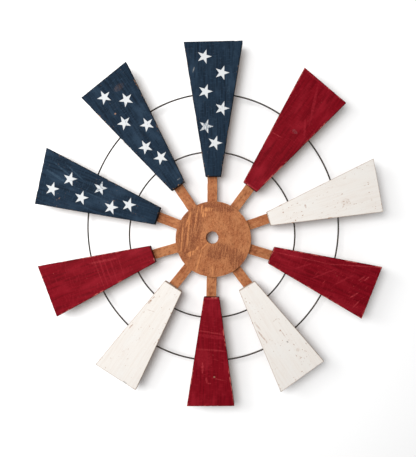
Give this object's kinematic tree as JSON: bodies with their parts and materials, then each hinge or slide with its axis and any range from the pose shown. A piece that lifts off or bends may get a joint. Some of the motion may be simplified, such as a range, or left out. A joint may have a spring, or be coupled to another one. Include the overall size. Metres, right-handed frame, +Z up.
{
  "type": "wall windmill",
  "caption": "Flat wooden wind wheel with tapered painted blades screwed to spokes of a round hub, two wire rings through the blades and a hanger behind.",
  "frame": {"origin": "centre of the hub's bore on the hub's back face, which lies on the wall", "axes": "+Y along the bore, back into the wall, so the front faces -Y; +Z up; +X to the right seen from the front"},
  "size_m": [0.5868, 0.035, 0.614],
  "materials": {
    "blue_paint": "matt navy paint on wood, rubbed at the edges, with stencilled white stars",
    "red_paint": "satin deep red paint on wood, scratched and rubbed at the edges",
    "white_paint": "chalky off-white paint on wood, chipped at the edges",
    "stained_wood": "red-brown stained wood, open grain, dull",
    "ring_wire": "dark oxidised steel wire",
    "screw_steel": "zinc-plated steel",
    "hanger_steel": "passivated steel"
  },
  "bodies": {
    "wheel": {"hub_front": "stained_wood", "hub_back": "stained_wood", "spoke_top": "stained_wood", "spoke_upper_right": "stained_wood", "spoke_right_upper": "stained_wood", "spoke_right_lower": "stained_wood", "spoke_lower_right": "stained_wood", "spoke_bottom": "stained_wood", "spoke_lower_left": "stained_wood", "spoke_left_lower": "stained_wood", "spoke_left_upper": "stained_wood", "spoke_upper_left": "stained_wood", "blade_top": "blue_paint", "blade_upper_right": "red_paint", "blade_right_upper": "white_paint", "blade_right_lower": "red_paint", "blade_lower_right": "white_paint", "blade_bottom": "red_paint", "blade_lower_left": "white_paint", "blade_left_lower": "red_paint", "blade_left_upper": "blue_paint", "blade_upper_left": "blue_paint", "ring_inner": "ring_wire", "ring_outer": "ring_wire", "hub_screws": "screw_steel", "blade_screws": "screw_steel", "hanger_strap": "hanger_steel", "hanger_screws": "screw_steel"},
    "hanger_ring": {"hanger_ring": "hanger_steel"}
  },
  "joints": [
    {"name": "hanger_swing", "type": "hinge", "parent": "wheel", "child": "hanger_ring", "pos_m": [0, -0.00972, 0.205], "axis": [1, 0, 0], "range_deg": [0, 180]}
  ]
}
